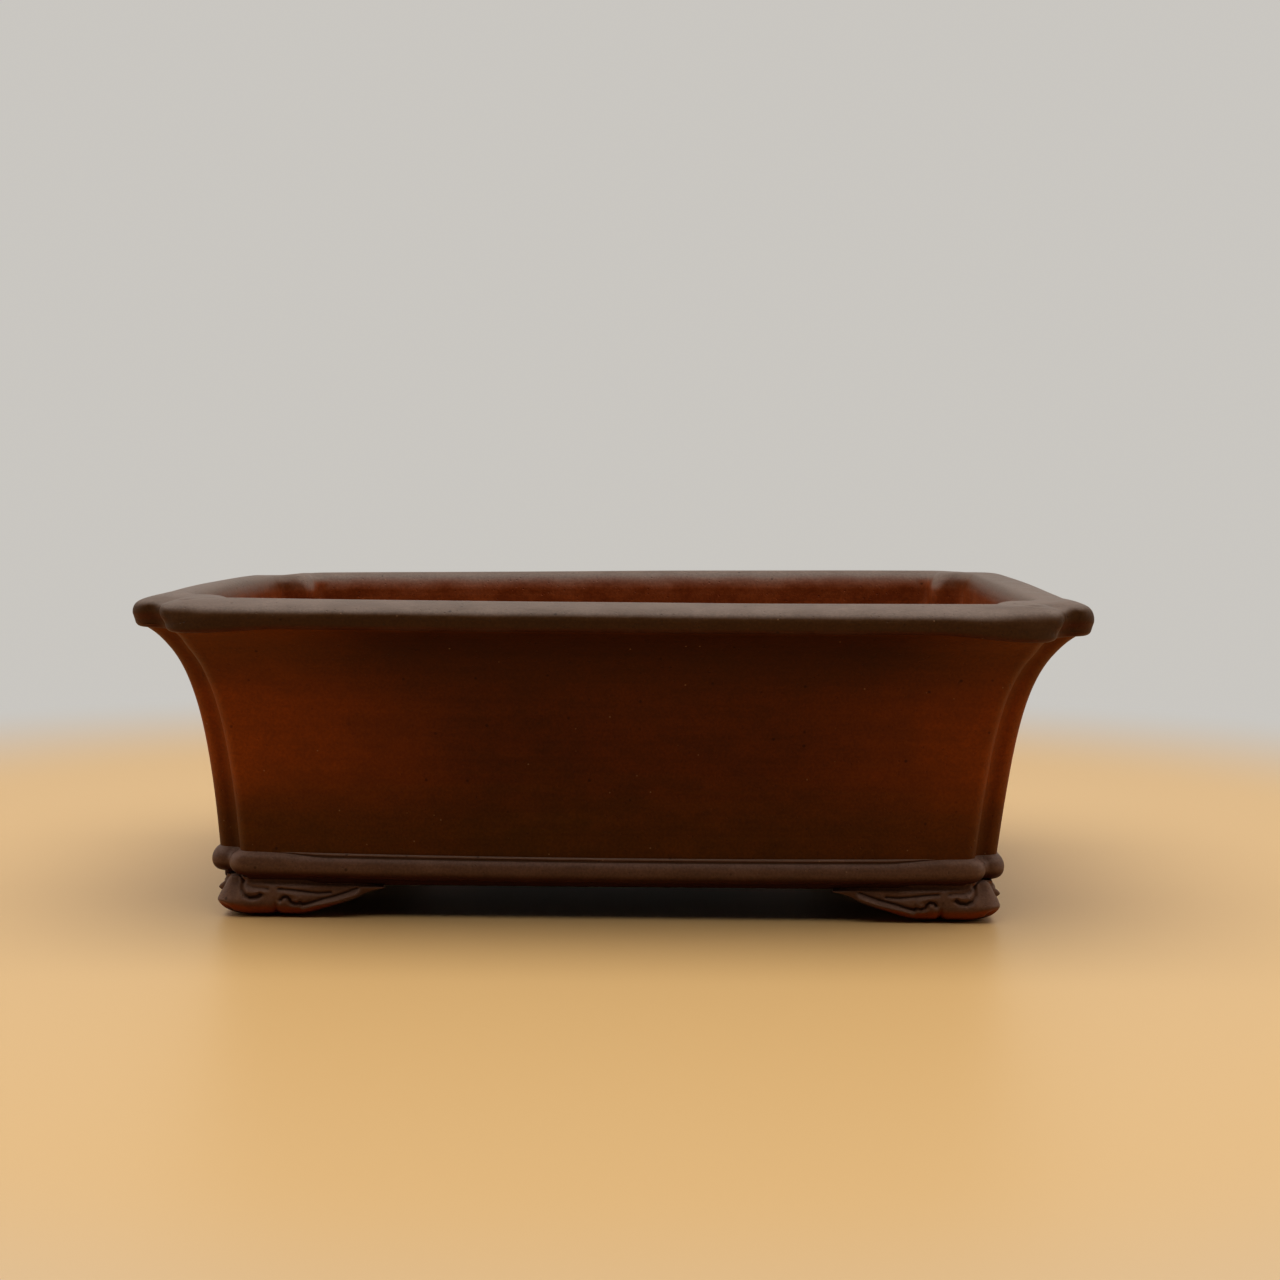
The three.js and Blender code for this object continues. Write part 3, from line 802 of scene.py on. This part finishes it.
def make_clay(name, core, flash_and_side_light, ash, dust_and_sheen, under, flash_and_side_light_amount, dust_and_sheen_amount, roughness):
    """Unglazed stoneware. core is the clay, flash the brighter, redder colour at the ends of the pot,
    partly reddened in the kiln and partly painted light from the sides, ash the greyer clay low
    down, dust the paler colour on faces that look up, partly dirt and partly a painted sheen of
    light from above, and under the warmer colour given to faces that look down."""
    material = bpy.data.materials.new(name)
    tree = Tree(material)
    shader = tree.nodes["Principled BSDF"]
    axis = tree.make("ShaderNodeSeparateXYZ", {"Vector": tree.place}).outputs
    geometry_node = tree.make("ShaderNodeNewGeometry")
    upward = tree.make("ShaderNodeSeparateXYZ", {"Vector": geometry_node.outputs["Normal"]}).outputs[2]
    relief = tree.make("ShaderNodeAttribute", attribute_name="relief").outputs["Fac"]
    inside = tree.make("ShaderNodeAttribute", attribute_name="inside").outputs["Fac"]

    cloud = tree.noise(9.0, 3.0, 0.55)
    mottle = tree.noise(70.0, 5.0, 0.6, at=tree.stretched((1, 1, 1.6), 3.1))
    grain = tree.noise(900.0, 4.0, 0.65)
    wipe = tree.noise(3.0, 4.0, 0.6, at=tree.stretched((4, 4, 130), 1.7))

    # Redder ends (partly reddened in the kiln, partly painted side light), sooty foot, faces that look
    # down, and painted shade under the lip.
    off_middle = tree.math("ABSOLUTE", tree.math("SUBTRACT", axis[0], 0.012))
    end = tree.ramp(off_middle, 0.05, 0.188)
    middle = tree.math("MULTIPLY", tree.ramp(axis[2], 0.03, 0.07), tree.ramp(axis[2], 0.122, 0.085))
    # Redder and brighter towards the ends, most at mid-height: partly reddened in the kiln, partly
    # painted light from the side lamps.
    painted_side_light_and_flash = tree.math("MULTIPLY", end, tree.ramp(middle, 0.0, 1.0, 0.3, 1.0))
    painted_side_light_and_flash = tree.math("ADD", painted_side_light_and_flash, tree.ramp(cloud, 0.36, 0.66, 0.02, 0.12))
    painted_side_light_and_flash = tree.math("ADD", painted_side_light_and_flash, tree.ramp(mottle, 0.35, 0.68, -0.02, 0.04))
    colour = tree.mix(tree.math("MULTIPLY", painted_side_light_and_flash, flash_and_side_light_amount), core, flash_and_side_light)
    sooty = tree.ramp(axis[2], 0.072, 0.03, 0.0, 0.75)
    sooty = tree.math("ADD", sooty, tree.ramp(cloud, 0.55, 0.3, -0.05, 0.16))
    sooty = tree.math("ADD", sooty, tree.ramp(wipe, 0.35, 0.7, -0.1, 0.1))
    colour = tree.mix(tree.math("MULTIPLY", sooty, 0.6), colour, ash)
    away = tree.ramp(axis[2], 0.0080, 0.0045)
    away = tree.math("MAXIMUM", away, tree.ramp(axis[2], 0.0125, 0.0135))
    colour = tree.mix(tree.math("MULTIPLY", tree.ramp(upward, -0.1, -0.65), away), colour, under)
    # Painted shade under the lip: the upper wall darkened towards a third of its colour, least at the
    # ends.
    painted_lip_shade = tree.math("MULTIPLY", tree.ramp(axis[2], 0.086, 0.118), tree.ramp(end, 0.92, 0.15))
    painted_lip_shade = tree.math("MULTIPLY", painted_lip_shade, tree.ramp(axis[2], 0.1235, 0.1205))
    colour = tree.mix(tree.math("MULTIPLY", painted_lip_shade, 0.8), colour, tuple(0.35 * c for c in core))

    # The inside, paler faces that look up (partly dirt, partly a painted sheen of light from above),
    # and small changes of brightness.
    colour = tree.mix(inside, colour, tree.mix(tree.ramp(mottle, 0.3, 0.7), *INNER_CLAY))
    # Paler on faces that look up: partly dirt, partly a painted sheen of reflected light from above.
    top_dust_and_sheen = tree.math("ADD", upward, tree.ramp(mottle, 0.3, 0.7, -0.08, 0.08))
    top_dust_and_sheen = tree.math("ADD", top_dust_and_sheen, tree.math("MULTIPLY", inside, 0.3))
    top_dust_and_sheen = tree.math("MULTIPLY", tree.ramp(top_dust_and_sheen, 0.24, 1.14), dust_and_sheen_amount)
    colour = tree.mix(top_dust_and_sheen, colour, dust_and_sheen)
    shade = tree.ramp(mottle, 0.3, 0.7, 0.93, 1.07)
    shade = tree.math("MULTIPLY", shade, tree.ramp(grain, 0.3, 0.72, 0.86, 1.15))
    shade = tree.math("MULTIPLY", shade, tree.ramp(wipe, 0.3, 0.7, 0.95, 1.05))
    grey = tree.make("ShaderNodeCombineColor", {0: shade, 1: shade, 2: shade}).outputs[0]
    colour = tree.mix(1.0, colour, grey, "MULTIPLY")

    # Paler edges, partly rubbed wear and partly a painted highlight, and painted shade in hollows.
    # Paler bulging edges: partly rubbed wear, partly a painted highlight on ridges.
    edge_wear_and_highlight = tree.math("ADD", relief, tree.ramp(mottle, 0.3, 0.7, -0.09, 0.09))
    edge = tree.ramp(edge_wear_and_highlight, 0.12, 0.45, 0.0, 0.5)
    colour = tree.mix(edge, colour, tuple(0.75 * c + 0.04 for c in flash_and_side_light))
    # Painted shade: concave places darkened towards 0.3 of the clay's colour.
    painted_hollow_shade = tree.ramp(relief, -0.06, -0.55, 0.0, 0.8)
    colour = tree.mix(painted_hollow_shade, colour, tuple(0.3 * c for c in core))

    # Pale flecks and iron spots.
    near, pick = tree.cells(360.0)
    fleck = tree.math("MULTIPLY", tree.ramp(near, 0.17, 0.08), tree.ramp(pick, 0.962, 0.968))
    colour = tree.mix(tree.math("MULTIPLY", fleck, 0.4), colour, FLECK)
    near_dark, pick_dark = tree.cells(240.0, at=tree.stretched((1, 1, 1), 5.3))
    iron = tree.math("MULTIPLY", tree.ramp(near_dark, 0.22, 0.08), tree.ramp(pick_dark, 0.9, 0.92))
    colour = tree.mix(tree.math("MULTIPLY", iron, 0.5), colour, IRON)
    tree.links.new(colour, shader.inputs["Base Color"])

    sheen = tree.ramp(mottle, 0.3, 0.7, -0.05, 0.06)
    sheen = tree.math("ADD", sheen, tree.ramp(grain, 0.3, 0.7, -0.05, 0.05))
    sheen = tree.math("SUBTRACT", sheen, tree.math("MULTIPLY", edge, 0.1))
    sheen = tree.math("ADD", sheen, tree.math("MULTIPLY", painted_hollow_shade, 0.15))
    tree.links.new(tree.math("ADD", sheen, roughness), shader.inputs["Roughness"])
    shader.inputs["Specular IOR Level"].default_value = 0.14

    # Pits and grain, as heights in metres.
    pore, pore_pick = tree.cells(620.0, at=tree.stretched((1, 1, 1), 2.2))
    pit = tree.math("MULTIPLY", tree.ramp(pore, 0.32, 0.08), tree.ramp(pore_pick, 0.82, 0.86))
    height = tree.math("MULTIPLY", grain, 0.00009)
    height = tree.math("ADD", height, tree.math("MULTIPLY", tree.noise(260.0, 4.0, 0.6), 0.00016))
    height = tree.math("ADD", height, tree.math("MULTIPLY", tree.noise(2400.0, 2.0, 0.6), 0.00003))
    height = tree.math("ADD", height, tree.math("MULTIPLY", wipe, 0.00009))
    height = tree.math("SUBTRACT", height, tree.math("MULTIPLY", pit, 0.00022))
    height = tree.math("ADD", height, tree.math("MULTIPLY", fleck, 0.00008))
    bump = tree.make("ShaderNodeBump", {"Height": height, "Strength": 1.0, "Distance": 1.0})
    tree.links.new(bump.outputs["Normal"], shader.inputs["Normal"])
    return material


LOOKS = {
    "wall_clay": {
        "core": (0.088, 0.0200, 0.0001),
        "flash_and_side_light": (0.238, 0.0510, 0.0002),
        "ash": (0.074, 0.0330, 0.0010),
        "dust_and_sheen": (0.13, 0.060, 0.025),
        "under": (0.125, 0.033, 0.0003),
        "flash_and_side_light_amount": 1.0, "dust_and_sheen_amount": 0.3, "roughness": 0.52},
    "lip_clay": {
        "core": (0.062, 0.0265, 0.0075),
        "flash_and_side_light": (0.078, 0.031, 0.009),
        "ash": (0.058, 0.030, 0.016),
        "dust_and_sheen": (0.157, 0.114, 0.091),
        "under": (0.07, 0.016, 0.002),
        "flash_and_side_light_amount": 0.6, "dust_and_sheen_amount": 1.0, "roughness": 0.48},
    "belt_clay": {
        "core": (0.126, 0.061, 0.0330),
        "flash_and_side_light": (0.230, 0.122, 0.070),
        "ash": (0.126, 0.068, 0.044),
        "dust_and_sheen": (0.185, 0.112, 0.085),
        "under": (0.055, 0.013, 0.002),
        "flash_and_side_light_amount": 0.6, "dust_and_sheen_amount": 0.9, "roughness": 0.46},
    "foot_clay": {
        "core": (0.160, 0.083, 0.0500),
        "flash_and_side_light": (0.165, 0.075, 0.038),
        "ash": (0.128, 0.068, 0.042),
        "dust_and_sheen": (0.165, 0.100, 0.075),
        "under": (0.230, 0.052, 0.003),
        "flash_and_side_light_amount": 0.5, "dust_and_sheen_amount": 0.8, "roughness": 0.5},
    # A much darker copy of the clay: painted shade on the slab's underside and edge, under the pot.
    "floor_clay": {
        "core": (0.045, 0.008, 0.002),
        "flash_and_side_light": (0.060, 0.012, 0.003),
        "ash": (0.035, 0.010, 0.004),
        "dust_and_sheen": (0.10, 0.045, 0.022),
        "under": (0.04, 0.009, 0.002),
        "flash_and_side_light_amount": 0.4, "dust_and_sheen_amount": 0.3, "roughness": 0.62},
}
CLAYS = {name: make_clay(name, **look) for name, look in LOOKS.items()}

PIECES = [*make_walls(), *make_lip(), *make_belt(), *make_feet()]
PIECES.append((make_floor(), "floor_slab", "floor_clay"))
for piece, cad_node, slot in PIECES:
    piece.data.materials.append(CLAYS[slot])
    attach(piece, "root")
    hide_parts(cad_node)


# ---------------------------------------------------------------- stage, light, camera

TABLE_HALF = 9.0  # metres
CREAM = (0.60, 0.385, 0.170)
BACKDROP = (0.512, 0.496, 0.469)


def make_stage():
    """A wide plain table, warm about the pot, that turns into the backdrop further off."""
    mesh = bpy.data.meshes.new("table")
    corners = [(sx * TABLE_HALF, sy * TABLE_HALF, 0) for sx, sy in QUADRANTS]
    mesh.from_pydata(corners, [], [(0, 1, 2, 3)])
    table = bpy.data.objects.new("table", mesh)
    bpy.context.scene.collection.objects.link(table)
    material = bpy.data.materials.new("table_top")
    tree = Tree(material)
    flat = tree.stretched((1, 1, 0))
    reach = tree.make("ShaderNodeVectorMath", {0: flat}, operation="LENGTH").outputs["Value"]
    shader = tree.nodes["Principled BSDF"]
    shader.inputs["Base Color"].default_value = (*CREAM, 1)
    shader.inputs["Roughness"].default_value = 0.42
    far = tree.make("ShaderNodeEmission", {"Color": BACKDROP})
    blend = tree.make("ShaderNodeMixShader", {0: tree.ramp(reach, 0.42, 0.8)})
    tree.links.new(shader.outputs[0], blend.inputs[1])
    tree.links.new(far.outputs[0], blend.inputs[2])
    tree.links.new(blend.outputs[0], tree.nodes["Material Output"].inputs["Surface"])
    mesh.materials.append(material)


def area_light(name, place, target, size, power):
    light = bpy.data.lights.new(name, "AREA")
    light.shape = "RECTANGLE"
    light.size, light.size_y = size
    light.energy = power
    lamp = bpy.data.objects.new(name, light)
    lamp.location = place
    lamp.rotation_mode = "QUATERNION"
    lamp.rotation_quaternion = (Vector(target) - Vector(place)).to_track_quat("-Z", "Y")
    bpy.context.scene.collection.objects.link(lamp)


def make_lights():
    """A big soft overhead light, weaker side lights, and a room that is bright behind the pot and
    dark in front of it. The camera itself sees the room in the plain colour of the backdrop."""
    area_light("overhead", (0, -0.2, 1.5), (0, -0.1, 0), (2.4, 1.8), 30)
    area_light("side_left", (-1.5, -0.1, 0.6), (-0.1, 0, 0.06), (0.9, 0.9), 4)
    area_light("side_right", (1.5, -0.1, 0.6), (0.1, 0, 0.06), (0.9, 0.9), 4)
    world = bpy.data.worlds.new("studio")
    world.use_nodes = True
    nodes, links = world.node_tree.nodes, world.node_tree.links
    axis = nodes.new("ShaderNodeSeparateXYZ")
    links.new(nodes.new("ShaderNodeTexCoord").outputs["Generated"], axis.inputs[0])
    rear = nodes.new("ShaderNodeMapRange")
    rear.interpolation_type = "SMOOTHSTEP"
    for key, value in (("From Min", -0.6), ("From Max", 0.75), ("To Min", 0.02), ("To Max", 1.06)):
        rear.inputs[key].default_value = value
    links.new(axis.outputs[1], rear.inputs["Value"])
    seen = nodes.new("ShaderNodeMix")
    links.new(nodes.new("ShaderNodeLightPath").outputs["Is Camera Ray"], seen.inputs[0])
    links.new(rear.outputs[0], seen.inputs[2])
    seen.inputs[3].default_value = 1
    background = nodes["Background"]
    background.inputs["Color"].default_value = (*BACKDROP, 1)
    links.new(seen.outputs[0], background.inputs["Strength"])
    bpy.context.scene.world = world


def make_camera():
    """Looks along +Y from a little above the lip, with a slight fall, roll and turn, in radians."""
    fall, roll, turn = 0.0837, 0.0061, 0.0150
    c, s = math.cos(turn), math.sin(turn)
    right = Vector((c, s, 0))
    ahead = Vector((-s * math.cos(fall), c * math.cos(fall), -math.sin(fall)))
    up = right.cross(ahead)
    right_rolled = math.cos(roll) * right + math.sin(roll) * up
    up_rolled = math.cos(roll) * up - math.sin(roll) * right
    distance, aside, height = 0.9952, 0.0104, 0.1916
    place = Vector((c * aside + s * distance, s * aside - c * distance, height))
    data = bpy.data.cameras.new("camera")
    data.sensor_width = 36
    data.lens = 61.875
    camera = bpy.data.objects.new("camera", data)
    axes = Matrix((right_rolled, up_rolled, -ahead)).transposed()
    camera.matrix_world = Matrix.Translation(place) @ axes.to_4x4()
    bpy.context.scene.collection.objects.link(camera)
    bpy.context.scene.camera = camera


make_stage()
make_lights()
make_camera()
bpy.context.scene.view_settings.view_transform = "Standard"
bpy.context.scene.view_settings.look = "Medium High Contrast"
